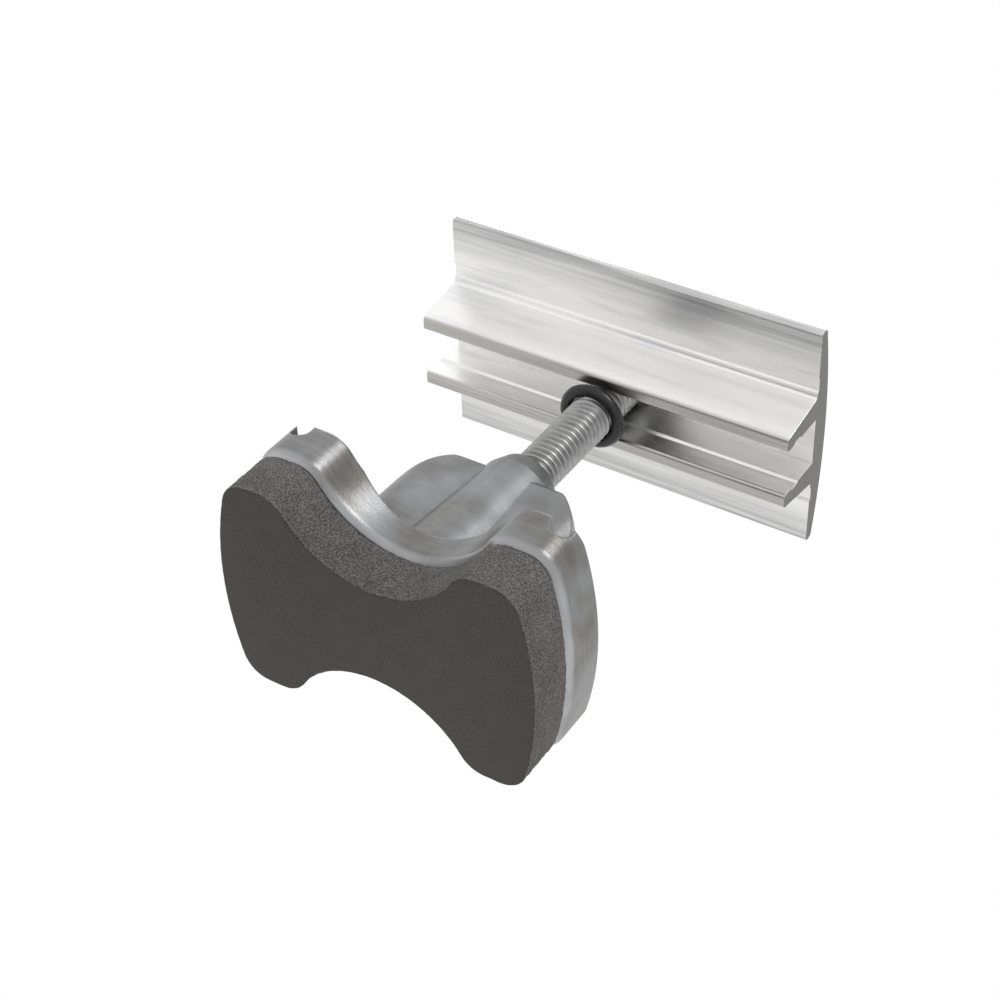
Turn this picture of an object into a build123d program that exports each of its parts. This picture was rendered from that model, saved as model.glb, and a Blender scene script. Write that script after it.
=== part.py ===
"""Solar mid clamp: extruded clamp bar on an M8 bolt, standing on a padded cast foot.

Frame: +Z up along the bolt, +X along the clamp bar, origin at the centre of the
pad's lower face. Millimetres.
"""
from build123d import *
import os

os.makedirs("parts", exist_ok=True)

# ---- driving dimensions -------------------------------------------------
# foot outline, shared by the pad and the casting
foot_length = 57.8
foot_width = 39.8
foot_end_radius = 62.0
foot_waist_width = 18.7
foot_waist_radius = 17.2
foot_corner_radius = 5.2

pad_height = 8.9
pad_inset = 0.35
pad_edge_bevel = 0.5

rim_top = 17.5
rim_lower_radius = 2.0
saddle_depth = 2.2
saddle_reach = 12.5
groove_centre = 23.2
groove_width = 3.6
groove_depth = 3.0

boss_top = 43.6
collar_radius = 5.5
collar_height = 3.2
boss_base_radius = 8.4
barrel_neck_radius = 6.6
wing_length = 35.6
wing_thickness = 11.8
wing_draft = 1.5
shoulder_height = 41.2
wing_end_height = 26.0
wing_end_draw = 1.0
shoulder_outer = (15.4, 33.4)
shoulder_inner = (11.8, 38.2)
crest_flat = 0.6
thread_bore_radius = 4.0
thread_bore_floor = 10.9

# clamp bar section
bar_length = 71.0
bar_width = 43.0
bar_underside = 77.0
bar_edge_thickness = 1.8
bar_middle_thickness = 4.2
leg_depth = 10.4
leg_root_outer = 8.8
leg_tip_outer = 7.0
leg_inner = 4.5
leg_step_height = 2.3
leg_step_depth = 0.45
lip_groove_inner = 10.2
lip_groove_outer = 12.8
lip_groove_depth = 0.35
bolt_clearance_radius = 4.4
spot_face_radius = 8.0
spot_face_depth = 0.7

# fastener
shank_radius = 3.95
shank_length = 55.0
shank_point_chamfer = 0.8
head_radius = 6.5
head_height = 8.0
socket_across_flats = 6.0
socket_depth = 4.5
washer_inner_radius = 4.2
washer_outer_radius = 6.5
washer_thickness = 2.0
washer_split = 1.0
ring_section_radius = 1.05
ring_inner_radius = 4.0

seat_gap = 0.05
ring_gap = 0.9

# ---- derived heights ----------------------------------------------------
leg_tip_height = bar_underside - leg_depth
spot_face_height = bar_underside + bar_middle_thickness - spot_face_depth
washer_height = spot_face_height + seat_gap
head_seat_height = washer_height + washer_thickness + seat_gap
shank_tip_height = head_seat_height - shank_length
ring_height = leg_tip_height - ring_gap - ring_section_radius


def foot_outline(inset: float) -> Sketch:
    """Bow-tie outline: two lobes with crowned ends, joined by a hollow waist."""
    half_length = foot_length / 2
    half_width = foot_width / 2
    end_drop = foot_end_radius - (foot_end_radius**2 - half_width**2) ** 0.5
    corner = half_length - end_drop
    waist_centre = foot_waist_width / 2 + foot_waist_radius
    with BuildSketch(mode=Mode.PRIVATE) as outline:
        with BuildLine():
            Line((-corner, half_width), (corner, half_width))
            ThreePointArc((corner, half_width), (half_length, 0), (corner, -half_width))
            Line((corner, -half_width), (-corner, -half_width))
            ThreePointArc((-corner, -half_width), (-half_length, 0), (-corner, half_width))
        make_face()
        with Locations((0, waist_centre), (0, -waist_centre)):
            Circle(foot_waist_radius, mode=Mode.SUBTRACT)
        fillet(outline.vertices(), radius=foot_corner_radius)
        offset(amount=-inset, mode=Mode.REPLACE)
    return outline.sketch


# ---- foam rubber pad ----------------------------------------------------
with BuildPart() as foot_pad:
    with BuildSketch():
        add(foot_outline(pad_inset))
    extrude(amount=pad_height)
    chamfer(foot_pad.faces().sort_by(Axis.Z)[0].edges(), length=pad_edge_bevel)

# ---- cast foot: winged boss, then the rim that carries it -----------------
wing_end = (wing_length / 2 - wing_end_draw, wing_end_height)
with BuildPart() as winged_boss:
    with BuildSketch(Plane.XY.offset(pad_height + rim_lower_radius)):
        SlotOverall(wing_length, wing_thickness)
    extrude(amount=boss_top - pad_height, taper=wing_draft)
    # the shoulders fall away from the collar and turn down into the wing ends
    with BuildSketch(Plane.XZ):
        with BuildLine():
            Polyline((0, shoulder_height), (0, 0), (wing_length / 2, 0), wing_end)
            Spline(
                wing_end, shoulder_outer, shoulder_inner, (collar_radius, shoulder_height),
                tangents=((-0.04, 1.0), (-1.0, 0.42)),
            )
            Line((collar_radius, shoulder_height), (0, shoulder_height))
        make_face()
    revolve(axis=Axis.Z, mode=Mode.INTERSECT)
    # seen end-on, the wings have a rounded crest
    with BuildSketch(Plane.YZ):
        Rectangle(wing_thickness, shoulder_height, align=(Align.CENTER, Align.MIN))
        fillet([v for v in vertices() if v.Y > 1], radius=(wing_thickness - crest_flat) / 2)
    extrude(amount=wing_length / 2, both=True, mode=Mode.INTERSECT)
    # tapered barrel round the thread, with its collar standing proud
    with BuildSketch(Plane.XZ):
        with BuildLine():
            Polyline(
                (0, pad_height + rim_lower_radius),
                (boss_base_radius, pad_height + rim_lower_radius),
                (barrel_neck_radius, boss_top - collar_height),
                (collar_radius, boss_top),
                (0, boss_top),
                close=True,
            )
        make_face()
    revolve(axis=Axis.Z)

with BuildPart() as cast_foot:
    with BuildSketch(Plane.XY.offset(pad_height)):
        add(foot_outline(0))
    extrude(amount=rim_top - pad_height)
    fillet(cast_foot.faces().sort_by(Axis.Z)[0].edges(), radius=rim_lower_radius)
    # the rim dips to a saddle at the waist
    saddle_radius = (saddle_reach**2 + saddle_depth**2) / (2 * saddle_depth)
    with BuildSketch(Plane.XZ.offset(-foot_width)):
        with Locations((0, rim_top - saddle_depth + saddle_radius)):
            Circle(saddle_radius)
    extrude(amount=2 * foot_width, mode=Mode.SUBTRACT)
    # a round-bottomed groove crosses each lobe inside its end wall
    with BuildSketch(Plane.XZ.offset(-foot_width)):
        with Locations((groove_centre, rim_top), (-groove_centre, rim_top)):
            SlotOverall(2 * groove_depth, groove_width, rotation=90)
    extrude(amount=2 * foot_width, mode=Mode.SUBTRACT)
    add(winged_boss.part)
    with BuildSketch(Plane.XY.offset(boss_top)):
        Circle(thread_bore_radius)
    extrude(amount=thread_bore_floor - boss_top, mode=Mode.SUBTRACT)

# ---- extruded clamp bar ---------------------------------------------------
with BuildPart() as clamp_bar:
    with BuildSketch(Plane.YZ):
        with BuildLine() as half_section:
            ThreePointArc(
                (-bar_width / 2, bar_underside + bar_edge_thickness),
                (0, bar_underside + bar_middle_thickness),
                (bar_width / 2, bar_underside + bar_edge_thickness),
            )
            side = [
                (bar_width / 2, bar_underside + bar_edge_thickness),
                (bar_width / 2, bar_underside),
                (lip_groove_outer, bar_underside),
                (lip_groove_outer - lip_groove_depth, bar_underside + lip_groove_depth),
                (lip_groove_inner, bar_underside + lip_groove_depth),
                (lip_groove_inner - lip_groove_depth, bar_underside),
                (leg_root_outer, bar_underside),
                (leg_tip_outer, leg_tip_height),
                (leg_inner, leg_tip_height),
                (leg_inner, leg_tip_height + leg_step_height),
                (leg_inner + leg_step_depth, leg_tip_height + leg_step_height + leg_step_depth),
                (leg_inner + leg_step_depth, leg_tip_height + 2 * leg_step_height),
                (leg_inner, leg_tip_height + 2 * leg_step_height + leg_step_depth),
                (leg_inner, bar_underside),
            ]
            Polyline(*side)
            Line((leg_inner, bar_underside), (-leg_inner, bar_underside))
            Polyline(*[(-y, z) for y, z in side])
        make_face()
    extrude(amount=bar_length / 2, both=True)
    # drawn edges of the section are eased along the bar
    long_edges = clamp_bar.edges().filter_by(Axis.X)
    tip_edges = long_edges.filter_by(
        lambda edge: abs(edge.center().Z - leg_tip_height) < 0.01
    )
    fillet(tip_edges, radius=0.6)
    rim_edges = clamp_bar.edges().filter_by(Axis.X).filter_by(
        lambda edge: abs(abs(edge.center().Y) - bar_width / 2) < 0.01
    )
    fillet(rim_edges, radius=0.6)
    root_edges = clamp_bar.edges().filter_by(Axis.X).filter_by(
        lambda edge: abs(abs(edge.center().Y) - leg_root_outer) < 0.01
        and abs(edge.center().Z - bar_underside) < 0.01
    )
    fillet(root_edges, radius=0.8)
    with BuildSketch(Plane.XY.offset(spot_face_height)):
        Circle(spot_face_radius)
    extrude(amount=bar_middle_thickness, mode=Mode.SUBTRACT)
    with BuildSketch(Plane.XY.offset(bar_underside - 1)):
        Circle(bolt_clearance_radius)
    extrude(amount=bar_middle_thickness + 2, mode=Mode.SUBTRACT)

# ---- bolt -----------------------------------------------------------------
with BuildPart() as clamp_bolt:
    with BuildSketch(Plane.XY.offset(head_seat_height)):
        Circle(head_radius)
    extrude(amount=head_height)
    chamfer(clamp_bolt.edges().sort_by(Axis.Z)[-1], length=0.8)
    with BuildSketch(Plane.XY.offset(head_seat_height)):
        Circle(shank_radius)
    extrude(amount=-shank_length)
    chamfer(clamp_bolt.edges().sort_by(Axis.Z)[0], length=shank_point_chamfer)
    with BuildSketch(Plane.XY.offset(head_seat_height + head_height)):
        RegularPolygon(socket_across_flats / 2, 6, major_radius=False)
    extrude(amount=-socket_depth, mode=Mode.SUBTRACT)

# ---- split lock washer under the head --------------------------------------
with BuildPart() as lock_washer:
    with BuildSketch(Plane.XY.offset(washer_height)):
        Circle(washer_outer_radius)
        Circle(washer_inner_radius, mode=Mode.SUBTRACT)
    extrude(amount=washer_thickness)
    split_middle = washer_height + washer_thickness / 2
    with BuildSketch(Plane.YZ.offset(washer_inner_radius - 1)):
        with Locations((0, split_middle)):
            Rectangle(washer_split, 4 * washer_thickness, rotation=20)
    extrude(amount=washer_outer_radius, mode=Mode.SUBTRACT)

# ---- rubber ring that holds the bar up under the head ----------------------
with BuildPart() as retaining_ring:
    with BuildSketch(Plane.XZ):
        with Locations((ring_inner_radius + ring_section_radius, ring_height)):
            Circle(ring_section_radius)
    revolve(axis=Axis.Z)

pieces = {
    "foot_pad": foot_pad,
    "cast_foot": cast_foot,
    "clamp_bar": clamp_bar,
    "clamp_bolt": clamp_bolt,
    "lock_washer": lock_washer,
    "retaining_ring": retaining_ring,
}
for name, piece in pieces.items():
    piece.part.label = name
    export_step(piece.part, f"parts/{name}.step")
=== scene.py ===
"""Solar mid clamp: the looks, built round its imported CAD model.

The bolt gets a cut thread and a knurled head, the pad becomes sawn foam
rubber, and every piece gets a procedural finish. Lengths are in millimetres,
except in the studio, which is in metres as Blender is.
"""

from __future__ import annotations

import logging
import math
from abc import ABC, abstractmethod
from collections.abc import Mapping, Sequence
from dataclasses import dataclass, field
from enum import Enum, IntEnum
from typing import Any

import bmesh
import bpy
import numpy as np
from mathutils import Matrix, Vector, noise

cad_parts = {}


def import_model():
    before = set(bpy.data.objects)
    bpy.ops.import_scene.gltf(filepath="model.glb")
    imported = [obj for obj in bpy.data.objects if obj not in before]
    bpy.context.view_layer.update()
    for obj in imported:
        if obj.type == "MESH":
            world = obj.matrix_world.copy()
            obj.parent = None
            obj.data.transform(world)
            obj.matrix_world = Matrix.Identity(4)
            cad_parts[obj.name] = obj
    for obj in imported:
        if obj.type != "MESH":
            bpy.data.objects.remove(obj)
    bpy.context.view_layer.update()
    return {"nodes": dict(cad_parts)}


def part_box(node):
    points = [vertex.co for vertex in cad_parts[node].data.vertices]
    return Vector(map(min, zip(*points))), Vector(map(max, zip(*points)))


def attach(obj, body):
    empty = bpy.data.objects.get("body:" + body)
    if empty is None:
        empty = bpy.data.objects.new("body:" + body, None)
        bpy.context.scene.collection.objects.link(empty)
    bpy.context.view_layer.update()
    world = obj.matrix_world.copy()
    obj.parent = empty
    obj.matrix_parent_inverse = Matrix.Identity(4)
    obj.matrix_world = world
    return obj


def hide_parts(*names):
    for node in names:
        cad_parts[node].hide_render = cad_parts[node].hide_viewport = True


LOG = logging.getLogger("mid_clamp")
MM = 0.001
MERGE = 1e-6  # metres within which two vertices are one
SHORTEST_EDGE = 1e-7  # metres
FINE = 3.0  # octaves of a noise that is seen close to
BEVEL_SAMPLES = 6
WHITE = (1.0, 1.0, 1.0, 1.0)

Colour = tuple[float, float, float]
Place = tuple[float, float, float]
Stretch = tuple[float, float, float]  # features per millimetre along X, Y and Z
Window = tuple[float, float]  # where a ramp leaves 0 and where it reaches 1
Face = tuple[int, ...]


class Axis(IntEnum):
    """Axes of the shared frame."""

    X = 0
    Y = 1
    Z = 2


class Slot(Enum):
    """Names of material slots for the new pieces; nothing in the script reads them."""

    FOAM = "foam_rubber"
    BOLT = "bolt_steel"


class Body(Enum):
    """Bodies of the mechanism that the new pieces ride on."""

    FOOT = "foot"
    BOLT = "bolt"


class MixSocket(IntEnum):
    """Sockets of a Mix node that blends colours."""

    FACTOR = 0
    LOW = 6
    HIGH = 7
    RESULT = 2


def extent(node: str, axis: Axis) -> tuple[float, float]:
    """Lowest and highest place of a CAD node along an axis, in millimetres."""
    low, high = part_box(node)
    return low[axis] / MM, high[axis] / MM


# ---- shader graph -------------------------------------------------------------


class Value:
    """A number in a shader graph, with ordinary arithmetic."""

    def __init__(self, graph: Graph, output: bpy.types.NodeSocket) -> None:
        """Wrap a node's output.

        Args:
            graph: the graph that the node is in.
            output: the socket that gives the number.
        """
        self.graph = graph
        self.output = output

    def math(self, operation: str, *others: Value | float) -> Value:
        """Apply a Math node to this value and the others."""
        return self.graph.math(operation, self, *others)

    def __add__(self, other: Value | float) -> Value:
        """This value plus the other."""
        return self.math("ADD", other)

    def __radd__(self, other: float) -> Value:
        """The other plus this value."""
        return self.graph.math("ADD", other, self)

    def __sub__(self, other: Value | float) -> Value:
        """This value minus the other."""
        return self.math("SUBTRACT", other)

    def __rsub__(self, other: float) -> Value:
        """The other minus this value."""
        return self.graph.math("SUBTRACT", other, self)

    def __mul__(self, other: Value | float) -> Value:
        """This value times the other."""
        return self.math("MULTIPLY", other)

    def __rmul__(self, other: float) -> Value:
        """The other times this value."""
        return self.graph.math("MULTIPLY", other, self)

    def __truediv__(self, other: Value | float) -> Value:
        """This value over the other."""
        return self.math("DIVIDE", other)

    def __rtruediv__(self, other: float) -> Value:
        """The other over this value."""
        return self.graph.math("DIVIDE", other, self)

    def clamped(self) -> Value:
        """This value held between 0 and 1."""
        return self.math("MINIMUM", 1.0).math("MAXIMUM", 0.0)

    def ramp(self, low: float, high: float) -> Value:
        """0 at low, 1 at high, straight between and held outside."""
        return ((self - low) / (high - low)).clamped()

    def softened(self, share: float) -> Value:
        """The same mask with only a share of its strength: 1 - share at 0, 1 at 1."""
        return (1.0 - share) + share * self


class Graph:
    """Node tree of one material or world, built through a single node method."""

    def __init__(self, owner: bpy.types.Material | bpy.types.World) -> None:
        """Start from an empty tree.

        Args:
            owner: the material or world that holds the tree.
        """
        owner.use_nodes = True
        self.owner = owner
        self.tree = owner.node_tree
        self.tree.nodes.clear()

    @classmethod
    def of_material(cls, name: str) -> Graph:
        """An empty graph in a new material."""
        return cls(bpy.data.materials.new(name))

    def node(
        self,
        kind: str,
        settings: Mapping[str, Any] | None = None,
        inputs: Mapping[str | int, Any] | None = None,
    ) -> bpy.types.Node:
        """Add a node.

        Args:
            kind: Blender's type name of the node.
            settings: properties to set before its sockets are used.
            inputs: socket name or number to a constant, a Value, a socket, or
                a node, which stands for its first output.

        Returns:
            The new node.
        """
        made = self.tree.nodes.new(kind)
        for key, value in (settings or {}).items():
            setattr(made, key, value)
        for key, value in (inputs or {}).items():
            if isinstance(value, Value):
                value = value.output
            elif isinstance(value, bpy.types.Node):
                value = value.outputs[0]
            if isinstance(value, bpy.types.NodeSocket):
                self.tree.links.new(value, made.inputs[key])
            else:
                made.inputs[key].default_value = value
        return made

    def math(self, operation: str, *terms: Value | float) -> Value:
        """Add a Math node over one or more terms."""
        made = self.node("ShaderNodeMath", {"operation": operation}, dict(enumerate(terms)))
        return Value(self, made.outputs[0])

    def place(self, stretch: Stretch = (1.0, 1.0, 1.0)) -> bpy.types.NodeSocket:
        """Give object coordinates in millimetres.

        Args:
            stretch: factor along each axis.

        Returns:
            The socket of the scaled coordinates.
        """
        coordinate = self.node("ShaderNodeTexCoord").outputs["Object"]
        scale = tuple(factor / MM for factor in stretch)
        scaled = self.node(
            "ShaderNodeVectorMath", {"operation": "MULTIPLY"}, {0: coordinate, 1: scale}
        )
        return scaled.outputs[0]

    def part(self, source: bpy.types.NodeSocket, axis: Axis) -> Value:
        """One component of a vector."""
        split = self.node("ShaderNodeSeparateXYZ", None, {0: source})
        return Value(self, split.outputs[axis])

    def facing(self, axis: Axis) -> Value:
        """How squarely the surface faces along an axis, either way, from 0 to 1."""
        normal = self.node("ShaderNodeTexCoord").outputs["Normal"]
        return self.part(normal, axis).math("ABSOLUTE")

    def seen(self) -> Value:
        """Tell what the camera looks at from what only gives light.

        Returns:
            1 for what is seen directly or through metal and glass, else 0.
        """
        path = self.node("ShaderNodeLightPath")
        camera, glossy, through = (
            Value(self, path.outputs[f"Is {kind} Ray"])
            for kind in ("Camera", "Glossy", "Transmission")
        )
        return camera.math("MAXIMUM", glossy).math("MAXIMUM", through)

    def noise(self, where: bpy.types.NodeSocket, scale: float = 1.0, detail: float = 2.0) -> Value:
        """Add noise.

        Args:
            where: coordinates in millimetres.
            scale: features per millimetre.
            detail: octaves of finer noise on top.

        Returns:
            A value between about 0 and 1.
        """
        made = self.node(
            "ShaderNodeTexNoise", None, {"Vector": where, "Scale": scale, "Detail": detail}
        )
        return Value(self, made.outputs[0])

    def mix(
        self, factor: Value, low: Colour | bpy.types.NodeSocket, high: Colour
    ) -> bpy.types.NodeSocket:
        """Blend two colours.

        Args:
            factor: 0 for the low colour, 1 for the high one.
            low: a colour, or the socket that gives it.
            high: a colour.

        Returns:
            The socket of the blended colour.
        """
        start = (*low, 1.0) if isinstance(low, tuple) else low
        made = self.node(
            "ShaderNodeMix",
            {"data_type": "RGBA"},
            {MixSocket.FACTOR: factor, MixSocket.LOW: start, MixSocket.HIGH: (*high, 1.0)},
        )
        return made.outputs[MixSocket.RESULT]

    def either(
        self,
        factor: Value | bpy.types.NodeSocket,
        low: bpy.types.Node,
        high: bpy.types.Node,
    ) -> bpy.types.Node:
        """Mix two shader nodes: low where the factor is 0, high where it is 1."""
        return self.node("ShaderNodeMixShader", None, {0: factor, 1: low, 2: high})

    def bump(self, height: Value, depth: float, easing: float = 0.0) -> bpy.types.NodeSocket:
        """Turn a height into a normal.

        Args:
            height: the relief, 1 being its full depth.
            depth: that depth in millimetres.
            easing: radius in millimetres that the edges seem to have.

        Returns:
            The socket of the normal.
        """
        inputs: dict[str, Any] = {"Height": height, "Distance": depth * MM}
        if easing:
            inputs["Normal"] = self.node(
                "ShaderNodeBevel", {"samples": BEVEL_SAMPLES}, {"Radius": easing * MM}
            )
        return self.node("ShaderNodeBump", None, inputs).outputs[0]

    def surface(self, **inputs: Any) -> bpy.types.Material:
        """Close the graph with a Principled surface.

        Args:
            **inputs: socket names, with _ for each space, and their values.

        Returns:
            The finished material.
        """
        named = {key.replace("_", " "): value for key, value in inputs.items()}
        shader = self.node("ShaderNodeBsdfPrincipled", None, named)
        self.node("ShaderNodeOutputMaterial", None, {"Surface": shader})
        return self.owner


# ---- finishes -------------------------------------------------------------------


class Finish(ABC):
    """What a piece is made of and how its surface looks."""

    name: str

    @abstractmethod
    def material(self) -> bpy.types.Material:
        """The finish as a material."""


@dataclass(frozen=True)
class CastMetal(Finish):
    """Dull die-cast aluminium: mottled, scored low down, with painted shade low down and a painted
    highlight round its lower rim.

    Heights are counted from base, the casting's lower face.
    """

    base: float
    name: str = "cast_metal"
    warm: Colour = (0.135, 0.128, 0.114)
    cool: Colour = (0.33, 0.34, 0.36)
    # painted highlight: the pale colour of the band round the lower rounded rim
    rim_highlight: Colour = (0.60, 0.61, 0.63)
    roughness: float = 0.27
    grain_roughness: float = 0.08
    blotch_roughness: float = 0.05
    blotch_per_mm: float = 0.11
    blotch_window: Window = (0.32, 0.68)
    blotch_tone: float = 0.58
    blotch_relief: float = 2.5
    grain_per_mm: float = 2.4
    relief_depth: float = 0.020
    scoring: Stretch = (0.12, 0.12, 1.7)
    scoring_window: Window = (0.35, 0.65)
    scoring_tone: float = 0.14
    # painted shade: heights over which the casting's painted shade, darkest low down round the
    # rim, fades out up the boss
    painted_shade_fade: Window = (5.1, 27.1)
    painted_shade_fade_tone: float = 0.32
    rim: Window = (0.4, 2.1)
    rim_patch_per_mm: float = 0.09
    rim_patch_window: Window = (0.35, 0.60)
    rim_patch_share: float = 0.55
    edge_easing: float = 0.45

    def material(self) -> bpy.types.Material:
        """Build the material.

        Returns:
            The material, in heights of the shared frame.
        """
        graph = Graph.of_material(self.name)
        where = graph.place()
        height = graph.part(where, Axis.Z) - self.base
        blotch = graph.noise(where, self.blotch_per_mm, FINE).ramp(*self.blotch_window)
        grain = graph.noise(where, self.grain_per_mm, FINE)
        patch = graph.noise(where, self.rim_patch_per_mm).ramp(*self.rim_patch_window)
        # painted highlight along the lower rounded rim, broken into patches
        wear_and_highlight = (1.0 - height.ramp(*self.rim)) * patch.softened(self.rim_patch_share)
        scored = graph.noise(graph.place(self.scoring)).ramp(*self.scoring_window)
        # painted shade: darker low down round the rim and its recesses, paler up the boss
        painted_shade_fade = height.ramp(*self.painted_shade_fade)
        tone = (
            self.blotch_tone * blotch
            + self.scoring_tone * scored * (1.0 - painted_shade_fade)
            + self.painted_shade_fade_tone * painted_shade_fade
        )
        return graph.surface(
            Base_Color=graph.mix(wear_and_highlight, graph.mix(tone, self.warm, self.cool), self.rim_highlight),
            Metallic=1.0,
            Roughness=self.roughness
            + self.grain_roughness * grain
            + self.blotch_roughness * blotch,
            Normal=graph.bump(
                grain + self.blotch_relief * blotch, self.relief_depth, self.edge_easing
            ),
        )


@dataclass(frozen=True)
class DrawnMetal(Finish):
    """Mill-finish extrusion: lines and rubs along X, bands of painted dark reflection along its
    long edges, sawn ends darkened with painted dark reflection, and painted dark reflection at the
    leg tips.

    leg_tips is the height of the bar's leg tips and edge its half width. The
    tips' painted dark reflection is counted up from the first, the bands of
    painted dark reflection out from the second.
    """

    leg_tips: float
    edge: float
    name: str = "drawn_metal"
    colour: Colour = (0.95, 0.945, 0.93)
    rubbed: Colour = (0.74, 0.74, 0.77)
    # painted dark reflection: colour of the leg tips
    tip: Colour = (0.36, 0.35, 0.33)
    # painted dark reflection: colour of the bands along the bar's long edges
    band_reflection: Colour = (0.36, 0.355, 0.36)
    # painted dark reflection: colour of the sawn end faces
    sawn: Colour = (0.165, 0.162, 0.158)
    roughness: float = 0.24
    line_roughness: float = 0.10
    rub_roughness: float = 0.08
    sawn_roughness: float = 0.15
    lines: Stretch = (0.02, 4.0, 4.0)
    line_depth: float = 0.004
    rubs: Stretch = (0.05, 0.4, 0.4)
    rub_window: Window = (0.52, 0.86)
    tip_stretch: Window = (0.10, 0.75)
    tip_line_share: float = 0.5
    band: Window = (-7.5, 0.5)
    streaks: Stretch = (0.03, 1.2, 1.2)
    streak_window: Window = (0.35, 0.65)
    streak_share: float = 0.60
    end_window: Window = (0.6, 0.9)
    edge_easing: float = 0.15

    def material(self) -> bpy.types.Material:
        """Build the material.

        Returns:
            The material, in heights and widths of the shared frame.
        """
        graph = Graph.of_material(self.name)
        where = graph.place()
        drawn = graph.noise(graph.place(self.lines))
        rub = graph.noise(graph.place(self.rubs), detail=FINE).ramp(*self.rub_window)
        streak = graph.noise(graph.place(self.streaks), detail=FINE).ramp(*self.streak_window)
        # painted dark reflection at the leg tips, streaked by the drawn lines
        above_tips = graph.part(where, Axis.Z) - self.leg_tips
        tip = (1.0 - above_tips.ramp(*self.tip_stretch)) * drawn.softened(self.tip_line_share)
        past_edge = graph.part(where, Axis.Y).math("ABSOLUTE") - self.edge
        # painted dark reflection in bands along the bar's long edges, streaked
        band = past_edge.ramp(*self.band) * streak.softened(self.streak_share)
        # the sawn end faces, found by facing along X: rougher from the saw, and darkened with
        # painted dark reflection
        end = graph.facing(Axis.X).ramp(*self.end_window)
        face = graph.mix(rub, self.colour, self.rubbed)
        flank = graph.mix(tip, graph.mix(band, face, self.band_reflection), self.tip)
        return graph.surface(
            Base_Color=graph.mix(end, flank, self.sawn),
            Metallic=1.0,
            Roughness=self.roughness
            + self.line_roughness * drawn
            + self.rub_roughness * rub
            + self.sawn_roughness * end,
            Normal=graph.bump(drawn, self.line_depth, self.edge_easing),
        )


@dataclass(frozen=True)
class TurnedSteel(Finish):
    """Satin stainless steel with a little unevenness."""

    name: str
    colour: Colour = (0.46, 0.46, 0.455)
    shaded: Colour = (0.35, 0.35, 0.35)
    roughness: float = 0.26
    uneven_roughness: float = 0.12
    uneven_per_mm: float = 0.9
    uneven_window: Window = (0.3, 0.7)
    uneven_depth: float = 0.006
    edge_easing: float = 0.06

    def material(self) -> bpy.types.Material:
        """Build the material.

        Returns:
            The material.
        """
        graph = Graph.of_material(self.name)
        uneven = graph.noise(graph.place(), self.uneven_per_mm, FINE)
        tone = uneven.ramp(*self.uneven_window)
        return graph.surface(
            Base_Color=graph.mix(tone, self.shaded, self.colour),
            Metallic=1.0,
            Roughness=self.roughness + self.uneven_roughness * uneven,
            Normal=graph.bump(uneven, self.uneven_depth, self.edge_easing),
        )


@dataclass(frozen=True)
class BlackRubber(Finish):
    """Smooth black rubber of the retaining ring."""

    name: str = "black_rubber"
    colour: Colour = (0.004, 0.004, 0.004)
    wear_and_highlight: Colour = (0.010, 0.010, 0.010)
    roughness: float = 0.20
    wear_roughness: float = 0.15
    wear_per_mm: float = 1.3
    wear_depth: float = 0.01

    def material(self) -> bpy.types.Material:
        """Build the material.

        Returns:
            The material.
        """
        graph = Graph.of_material(self.name)
        wear = graph.noise(graph.place(), self.wear_per_mm, FINE)
        return graph.surface(
            Base_Color=graph.mix(wear, self.colour, self.wear_and_highlight),
            Roughness=self.roughness + self.wear_roughness * wear,
            Normal=graph.bump(wear, self.wear_depth),
        )


@dataclass(frozen=True)
class FoamRubber(Finish):
    """Dark foam rubber: a smooth skin below, sawn and grainy round the side.

    The lowest stretch of the side is paler with a painted highlight.
    """

    name: str = "foam_rubber"
    skin: Colour = (0.040, 0.037, 0.034)
    fleck: Colour = (0.22, 0.215, 0.205)
    roughness: float = 0.78
    sawn_roughness: float = 0.15
    side_window: Window = (0.35, 0.9)
    cells_per_mm: float = 3.6
    cell_depth: float = 0.16
    cloud_per_mm: float = 0.22
    cloud_share: float = 0.15
    grain_window: Window = (0.44, 0.60)
    side_tone: float = 0.10
    side_grain: float = 0.72
    skin_grain: float = 0.16
    skin_relief: float = 0.06
    # painted highlight: heights of the side's lowest stretch
    edge_highlight: Window = (0.35, 0.8)
    edge_highlight_tone: float = 0.18

    def material(self) -> bpy.types.Material:
        """Build the material.

        Returns:
            The material.
        """
        graph = Graph.of_material(self.name)
        where = graph.place()
        side = 1.0 - graph.facing(Axis.Z).ramp(*self.side_window)
        # painted highlight along the side's lowest edge
        edge_highlight = side * (1.0 - graph.part(where, Axis.Z).ramp(*self.edge_highlight))
        cells = graph.noise(where, self.cells_per_mm, FINE)
        cloud = graph.noise(where, self.cloud_per_mm)
        mottle = cells * (1.0 - self.cloud_share) + cloud * self.cloud_share
        grain = mottle.ramp(*self.grain_window)
        shade = (
            side * (self.side_tone + self.side_grain * grain)
            + (1.0 - side) * self.skin_grain * grain
            + self.edge_highlight_tone * edge_highlight
        )
        return graph.surface(
            Base_Color=graph.mix(shade, self.skin, self.fleck),
            Roughness=self.roughness + self.sawn_roughness * side * grain,
            Normal=graph.bump(cells * side.softened(1.0 - self.skin_relief), self.cell_depth),
        )


# ---- mesh helpers ---------------------------------------------------------------


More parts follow.
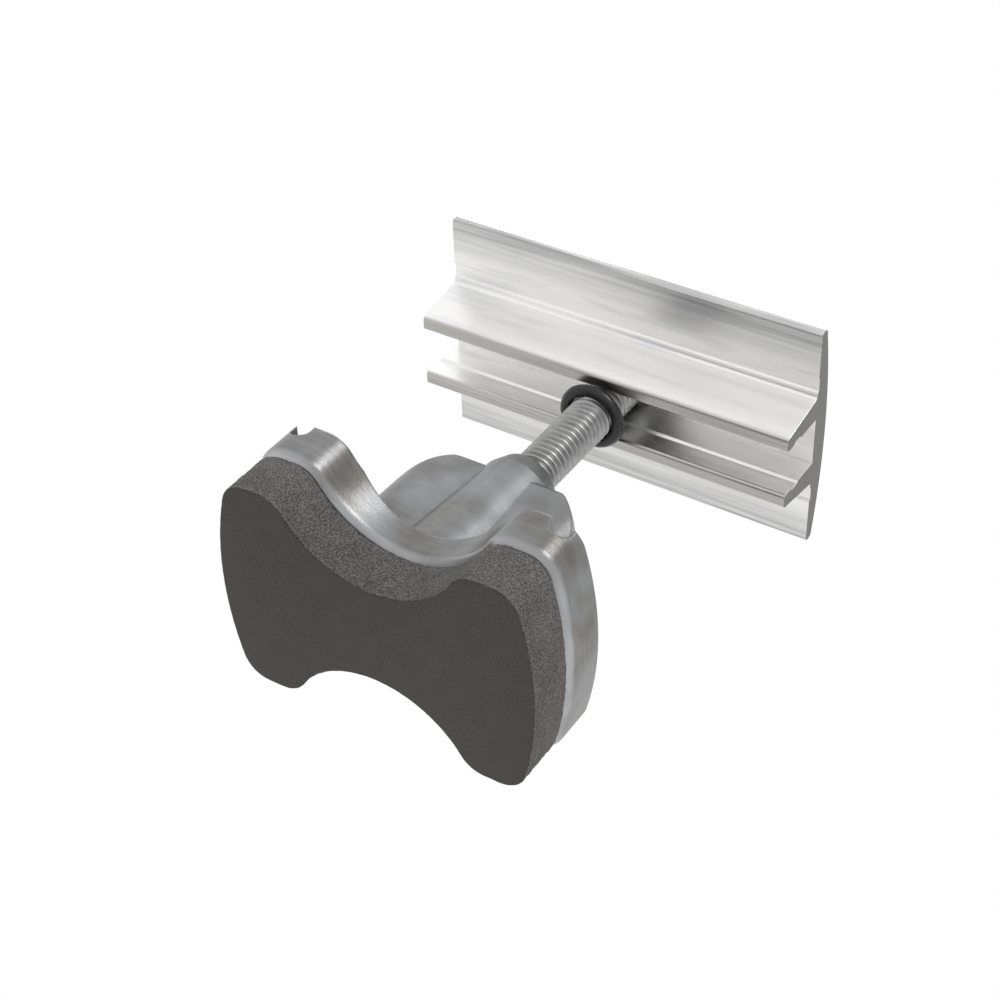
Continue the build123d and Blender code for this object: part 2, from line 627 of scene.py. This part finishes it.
def mesh_object(
    name: str, vertices: np.ndarray, faces: list[Face], smooth_angle: float = 30.0
) -> bpy.types.Object:
    """Make an object from vertices in millimetres.

    Args:
        name: the piece's name.
        vertices: an (n, 3) array.
        faces: vertex numbers of each face.
        smooth_angle: edges sharper than this many degrees stay crisp.

    Returns:
        The object, linked to the scene.
    """
    mesh = bpy.data.meshes.new(name)
    mesh.from_pydata((vertices * MM).tolist(), [], faces)
    work = bmesh.new()
    work.from_mesh(mesh)
    bmesh.ops.remove_doubles(work, verts=work.verts, dist=MERGE)
    bmesh.ops.dissolve_degenerate(work, edges=work.edges, dist=SHORTEST_EDGE)
    bmesh.ops.recalc_face_normals(work, faces=work.faces)
    for face in work.faces:
        face.smooth = True
    for edge in work.edges:
        if len(edge.link_faces) == 2:
            edge.smooth = edge.calc_face_angle(0.0) < math.radians(smooth_angle)
    work.to_mesh(mesh)
    work.free()
    made = bpy.data.objects.new(name, mesh)
    bpy.context.scene.collection.objects.link(made)
    LOG.info("%s: %d faces", name, len(mesh.polygons))
    return made


def bridge(rings: int, columns: int, offset: int = 0, seam_shift: int = 0) -> list[Face]:
    """Join a stack of equal closed rings with quads.

    Args:
        rings: number of rings.
        columns: vertices in each ring.
        offset: number of the first vertex.
        seam_shift: rings that the seam climbs, as on a helix.

    Returns:
        The faces.
    """
    faces = []
    for ring in range(rings - 1):
        for column in range(columns):
            right = (column + 1) % columns
            climb = 0 if right else seam_shift
            low = min(ring + climb, rings - 1)
            high = min(ring + 1 + climb, rings - 1)
            quad = (
                ring * columns + column,
                low * columns + right,
                high * columns + right,
                (ring + 1) * columns + column,
            )
            # past a helix's last ring the seam's right corners are one vertex
            faces.append(tuple(dict.fromkeys(offset + vertex for vertex in quad)))
    return faces


# ---- sub-assemblies ---------------------------------------------------------------


@dataclass
class ThreadedBolt:
    """M8 socket-head bolt with a helical thread, in place of its CAD solid.

    The thread's root and flank are shares of half a pitch. The shank's tip
    and the head's top come from the CAD solid.
    """

    crest: float = 3.94
    root: float = 3.30
    pitch: float = 1.25
    root_share: float = 0.22
    flank_share: float = 0.62
    point: float = 0.8
    overlap: float = 0.2
    columns: int = 64
    rows_per_turn: int = 16
    head_radius: float = 6.5
    head_height: float = 8.0
    base_bevel: float = 0.5
    base_shoulder: tuple[float, float] = (0.15, 0.4)
    knurl_columns: int = 180
    knurl_tooth: Sequence[float] = (0.0, 0.5, 1.0, 0.5)
    knurl_depth: float = 0.16
    knurl_start: float = 0.9
    knurl_stop: float = 1.3
    knurl_run_in: float = 0.2
    crown: float = 0.8
    crown_shoulder: tuple[float, float] = (0.3, 0.45)
    socket_across_flats: float = 6.0
    socket_depth: float = 4.4
    socket_mouth: float = 3.75
    mouth_rim: float = 0.15
    mouth_depth: float = 0.3
    drill_point: float = 0.6
    finish: Finish = TurnedSteel("turned_steel")
    tip: float = field(init=False)
    top: float = field(init=False)
    seat: float = field(init=False)

    def __post_init__(self) -> None:
        """Take the ends from the CAD solid."""
        self.tip, self.top = extent("clamp_bolt", Axis.Z)
        self.seat = self.top - self.head_height

    def thread(self) -> tuple[np.ndarray, list[Face]]:
        """Shape the threaded shank from rings sheared along the helix.

        Returns:
            Its vertices and its faces.
        """
        end = self.seat + self.overlap
        # a spare turn at each end is flattened by the height's limits below
        turns = math.ceil((end - self.tip) / self.pitch) + 2
        rows = turns * self.rows_per_turn + 1
        row, column = np.meshgrid(np.arange(rows), np.arange(self.columns), indexing="ij")
        climb = row / self.rows_per_turn
        flank = 1.0 - np.abs(2.0 * (climb % 1.0) - 1.0)
        depth = np.clip((flank - self.root_share) / self.flank_share, 0.0, 1.0)
        radius = self.root + (self.crest - self.root) * depth
        height = self.tip + self.pitch * (climb - 1.0 + column / self.columns)
        point_radius = self.crest - self.point + np.maximum(height - self.tip, 0.0)
        radius = np.minimum(radius, point_radius)
        height = np.clip(height, self.tip, end)
        angle = 2.0 * math.pi * column / self.columns
        body = np.stack([radius * np.cos(angle), radius * np.sin(angle), height], axis=-1)
        vertices = np.vstack([body.reshape(-1, 3), [[0, 0, self.tip], [0, 0, end]]])
        faces = bridge(rows, self.columns, seam_shift=self.rows_per_turn)
        tip_centre, end_centre = len(vertices) - 2, len(vertices) - 1
        last = (rows - 1) * self.columns
        for here in range(self.columns):
            right = (here + 1) % self.columns
            low = right if right else self.rows_per_turn * self.columns
            faces.append((tip_centre, low, here))
            faces.append((end_centre, last + here, last + right))
        return vertices, faces

    def head_profile(self, angle: np.ndarray) -> list[tuple[float | np.ndarray, float]]:
        """Trace the head from the middle of its seat to the socket's floor.

        Args:
            angle: direction of each column.

        Returns:
            Radius and height of each ring; the radius may vary by column.
        """
        full, seat, top = self.head_radius, self.seat, self.top
        tooth = np.resize(self.knurl_tooth, len(angle))
        knurled = full - self.knurl_depth * tooth
        valley = full - self.knurl_depth
        sixth = math.pi / 3
        hexagon = self.socket_across_flats / 2 / np.cos(angle % sixth - sixth / 2)
        base_in, base_up = self.base_shoulder
        crown_in, crown_down = self.crown_shoulder
        floor = top - self.socket_depth
        return [
            (0.0, seat),
            (full - self.base_bevel, seat),
            (full - base_in, seat + base_up),
            (valley, seat + self.knurl_start - self.knurl_run_in),
            (knurled, seat + self.knurl_start),
            (knurled, top - self.knurl_stop),
            (valley, top - self.knurl_stop + self.knurl_run_in),
            (full - crown_in, top - crown_down),
            (full - self.crown, top),
            (self.socket_mouth + self.mouth_rim, top),
            (self.socket_mouth, top),
            (hexagon, top - self.mouth_depth),
            (hexagon, floor),
            (0.0, floor - self.drill_point),
        ]

    def head(self, offset: int) -> tuple[np.ndarray, list[Face]]:
        """Shape the knurled head and its hexagon socket.

        Args:
            offset: number of its first vertex.

        Returns:
            Its vertices and its faces.
        """
        count = self.knurl_columns
        angle = 2.0 * math.pi * np.arange(count) / count
        rings = []
        for radius, height in self.head_profile(angle):
            ring = [radius * np.cos(angle), radius * np.sin(angle), np.full(count, height)]
            rings.append(np.stack(ring, axis=-1))
        return np.vstack(rings), bridge(len(rings), count, offset)

    def build(self) -> bpy.types.Object:
        """Make the bolt, riding on its own body.

        Returns:
            The bolt.
        """
        shank, shank_faces = self.thread()
        head, head_faces = self.head(len(shank))
        bolt = mesh_object("bolt_threaded", np.vstack([shank, head]), shank_faces + head_faces)
        bolt.data.materials.append(self.finish.material())
        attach(bolt, Body.BOLT.value)
        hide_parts("clamp_bolt")
        return bolt


@dataclass
class FootPad:
    """Foam-rubber pad cut to the foot's outline, in place of its CAD solid.

    The side is cut inward by its grain, which is faint at the skin below.
    level and upright pick the CAD solid's upper edge: how near the top a
    vertex is, and how little a side face's normal leans out of the level.
    """

    step: float = 0.42
    lower_easing: float = 0.45
    easing_steps: int = 4
    grain_depth: float = 0.14
    grain_per_mm: float = 1.1
    grain_falloff: float = 1.0
    grain_lacunarity: float = 2.0
    grain_octaves: int = 3
    grain_at_skin: float = 0.2
    level: float = 0.01
    upright: float = 0.5
    smooth_angle: float = 55.0
    finish: Finish = FoamRubber()
    height: float = field(init=False)

    def __post_init__(self) -> None:
        """Take the pad's height from the CAD solid."""
        self.height = extent("foot_pad", Axis.Z)[1]

    def outline(self, node: bpy.types.Object) -> np.ndarray:
        """Walk round the upper edge of the CAD pad.

        Args:
            node: the CAD pad.

        Returns:
            Points at even steps, anticlockwise.
        """
        work = bmesh.new()
        work.from_mesh(node.data)
        bmesh.ops.remove_doubles(work, verts=work.verts, dist=MERGE)
        beside: dict[int, list[int]] = {}
        for edge in work.edges:
            level = all(abs(v.co.z / MM - self.height) < self.level for v in edge.verts)
            if level and any(abs(face.normal.z) < self.upright for face in edge.link_faces):
                one, other = (v.index for v in edge.verts)
                beside.setdefault(one, []).append(other)
                beside.setdefault(other, []).append(one)
        work.verts.ensure_lookup_table()
        start = min(beside)
        walk = [start, beside[start][0]]
        while walk[-1] != start:
            here, before = walk[-1], walk[-2]
            walk.append(next(v for v in beside[here] if v != before))
        loop = np.array([work.verts[v].co[:2] for v in walk]) / MM
        work.free()
        run = np.concatenate([[0.0], np.cumsum(np.linalg.norm(np.diff(loop, axis=0), axis=1))])
        at = np.linspace(0.0, run[-1], round(run[-1] / self.step), endpoint=False)
        even = np.stack([np.interp(at, run, loop[:, axis]) for axis in (0, 1)], axis=-1)
        x, y = even.T
        area = np.sum(x * np.roll(y, -1) - y * np.roll(x, -1))
        return even if area > 0 else even[::-1]

    def levels(self) -> list[tuple[float, float]]:
        """List the rings of the side from the skin up.

        Returns:
            Height of each ring, and how far the lower edge is eased inward there.
        """
        turns = np.linspace(0.0, math.pi / 2, self.easing_steps, endpoint=False)
        eased = [
            (self.lower_easing * (1 - math.cos(t)), self.lower_easing * (1 - math.sin(t)))
            for t in turns
        ]
        side = [(z, 0.0) for z in np.arange(self.lower_easing, self.height, self.step)]
        return [*eased, *side, (self.height, 0.0)]

    def grain(self, edge: np.ndarray, z: float) -> np.ndarray:
        """Work out how deep the saw's grain goes round one ring.

        Args:
            edge: the outline's points.
            z: height of the ring.

        Returns:
            Depth at each point.
        """
        relief = np.array([
            0.5 + noise.fractal(
                Vector((x, y, z)) * self.grain_per_mm,
                self.grain_falloff,
                self.grain_lacunarity,
                self.grain_octaves,
            )
            for x, y in edge
        ])
        strength = min(1.0, z + self.grain_at_skin)
        return self.grain_depth * np.clip(relief, 0.0, 1.0) * strength

    def build(self, node: bpy.types.Object) -> bpy.types.Object:
        """Make the pad, riding on the foot.

        Args:
            node: the CAD solid it stands for.

        Returns:
            The pad.
        """
        edge = self.outline(node)
        tangent = np.roll(edge, -1, axis=0) - np.roll(edge, 1, axis=0)
        tangent /= np.linalg.norm(tangent, axis=1, keepdims=True)
        inward = np.stack([-tangent[:, 1], tangent[:, 0]], axis=-1)
        rings = []
        for z, inset in self.levels():
            ring = edge + inward * (inset + self.grain(edge, z))[:, None]
            rings.append(np.column_stack([ring, np.full(len(ring), z)]))
        count = len(edge)
        faces = bridge(len(rings), count)
        faces.append(tuple(reversed(range(count))))
        faces.append(tuple(range(count * (len(rings) - 1), count * len(rings))))
        pad = mesh_object("foot_pad_foam", np.vstack(rings), faces, self.smooth_angle)
        pad.data.materials.append(self.finish.material())
        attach(pad, Body.FOOT.value)
        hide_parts("foot_pad")
        return pad


@dataclass(frozen=True)
class CadFinishes:
    """Finishes of the pieces whose CAD solids are shown as they are."""

    finishes: Mapping[str, Finish]

    @classmethod
    def from_frame(cls) -> CadFinishes:
        """Choose the finishes and place them by the sizes of their nodes.

        Returns:
            The finishes, by the name of the node.
        """
        leg_tips, _ = extent("clamp_bar", Axis.Z)
        _, edge = extent("clamp_bar", Axis.Y)
        base, _ = extent("cast_foot", Axis.Z)
        return cls({
            "cast_foot": CastMetal(base),
            "clamp_bar": DrawnMetal(leg_tips, edge),
            "lock_washer": TurnedSteel("washer_steel", roughness=0.34),
            "retaining_ring": BlackRubber(),
        })

    def apply(self, nodes: Mapping[str, bpy.types.Object]) -> None:
        """Give each node its own material.

        Args:
            nodes: the frame's objects by name.
        """
        for name, finish in self.finishes.items():
            mesh = nodes[name].data
            mesh.materials.clear()
            mesh.materials.append(finish.material())
            LOG.info("%s: finish %s", name, finish.name)


@dataclass
class MidClamp:
    """The whole clamp over its CAD frame."""

    finishes: CadFinishes = field(default_factory=CadFinishes.from_frame)
    bolt: ThreadedBolt = field(default_factory=ThreadedBolt)
    pad: FootPad = field(default_factory=FootPad)

    def build(self, nodes: Mapping[str, bpy.types.Object]) -> None:
        """Dress every node.

        Args:
            nodes: the frame's objects by name.
        """
        self.finishes.apply(nodes)
        self.bolt.build()
        self.pad.build(nodes["foot_pad"])


# ---- studio -----------------------------------------------------------------------


@dataclass(frozen=True)
class SoftBox:
    """A square area light aimed at the object."""

    name: str
    place: Place
    size: float
    radiance: float

    def build(self, aim: Vector) -> bpy.types.Object:
        """Make the light.

        Args:
            aim: the point that it faces.

        Returns:
            The light.
        """
        lamp = bpy.data.lights.new(self.name, "AREA")
        lamp.size = self.size
        # a diffuse emitter's power is pi times its radiance times its area
        lamp.energy = self.radiance * math.pi * self.size**2
        made = bpy.data.objects.new(self.name, lamp)
        made.location = self.place
        made.rotation_euler = (aim - Vector(self.place)).to_track_quat("-Z", "Y").to_euler()
        bpy.context.scene.collection.objects.link(made)
        return made


@dataclass(frozen=True)
class Viewpoint:
    """The camera: below the pad on one side, looking up past it at the bar."""

    place: Place = (-0.14265, 0.20630, -0.17687)
    aim: Place = (0.01188, -0.01530, 0.05341)
    up: Place = (0.31671, 0.78070, 0.53871)
    focal_length: float = 73.69
    sensor_width: float = 36.0
    clip_start: float = 0.01
    clip_end: float = 20.0

    def build(self) -> None:
        """Make it the scene's camera."""
        place = Vector(self.place)
        ahead = (Vector(self.aim) - place).normalized()
        right = ahead.cross(Vector(self.up)).normalized()
        turn = Matrix((right, right.cross(ahead), -ahead)).transposed()
        lens = bpy.data.cameras.new("camera")
        lens.lens = self.focal_length
        lens.sensor_width = self.sensor_width
        lens.clip_start = self.clip_start
        lens.clip_end = self.clip_end
        made = bpy.data.objects.new("camera", lens)
        made.matrix_world = Matrix.Translation(place) @ turn.to_4x4()
        bpy.context.scene.collection.objects.link(made)
        bpy.context.scene.camera = made


@dataclass(frozen=True)
class Studio:
    """Pale floor, white surroundings, soft boxes and the camera.

    The floor lies just over the pad's lower face and is see-through from
    below, so that the pad's underside is seen and lit.
    """

    aim: Place = (0.0, 0.0, 0.045)
    floor_height: float = 0.00012
    floor_size: float = 9.0
    floor_colour: Colour = (0.88, 0.88, 0.88)
    floor_fade: Window = (0.22, 0.90)
    fill: float = 0.72
    boxes: Sequence[SoftBox] = (
        SoftBox("key_box", place=(-0.36, 0.58, 0.36), size=0.30, radiance=5.5),
        SoftBox("top_box", place=(0.30, 0.05, 0.78), size=0.50, radiance=2.0),
    )
    viewpoint: Viewpoint = Viewpoint()

    def surroundings(self) -> None:
        """White to the eye and in reflections, softer as light."""
        world = bpy.data.worlds.new("surroundings")
        bpy.context.scene.world = world
        graph = Graph(world)
        light, white = (
            graph.node("ShaderNodeBackground", None, {"Color": WHITE, "Strength": strength})
            for strength in (self.fill, 1.0)
        )
        sky = graph.either(graph.seen(), light, white)
        graph.node("ShaderNodeOutputWorld", None, {"Surface": sky})

    def floor_material(self) -> bpy.types.Material:
        """Pale paint that fades to white far off and is see-through from below.

        Returns:
            The material.
        """
        graph = Graph.of_material("floor")
        paint = graph.node("ShaderNodeBsdfDiffuse", None, {"Color": (*self.floor_colour, 1.0)})
        white = graph.node("ShaderNodeEmission", None, {"Color": WHITE, "Strength": 1.0})
        clear = graph.node("ShaderNodeBsdfTransparent")
        reach = graph.node("ShaderNodeVectorMath", {"operation": "LENGTH"}, {0: graph.place()})
        start, end = (distance / MM for distance in self.floor_fade)
        far = Value(graph, reach.outputs["Value"]).ramp(start, end)
        above = graph.either(far * graph.seen(), paint, white)
        below = graph.node("ShaderNodeNewGeometry").outputs["Backfacing"]
        shown = graph.either(below, above, clear)
        graph.node("ShaderNodeOutputMaterial", None, {"Surface": shown})
        return graph.owner

    def floor(self) -> None:
        """Lay the floor."""
        half = self.floor_size / 2
        corners = [(-half, -half, 0), (half, -half, 0), (half, half, 0), (-half, half, 0)]
        mesh = bpy.data.meshes.new("floor")
        mesh.from_pydata(corners, [], [(0, 1, 2, 3)])
        mesh.materials.append(self.floor_material())
        sheet = bpy.data.objects.new("floor", mesh)
        sheet.location.z = self.floor_height
        bpy.context.scene.collection.objects.link(sheet)

    def build(self) -> None:
        """Set up everything round the object."""
        bpy.context.scene.view_settings.view_transform = "Standard"
        self.surroundings()
        self.floor()
        for box in self.boxes:
            box.build(Vector(self.aim))
        self.viewpoint.build()


def main() -> None:
    """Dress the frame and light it."""
    logging.basicConfig(level=logging.INFO, format="%(message)s")
    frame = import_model()
    MidClamp().build(frame["nodes"])
    Studio().build()


if __name__ == "__main__":
    main()
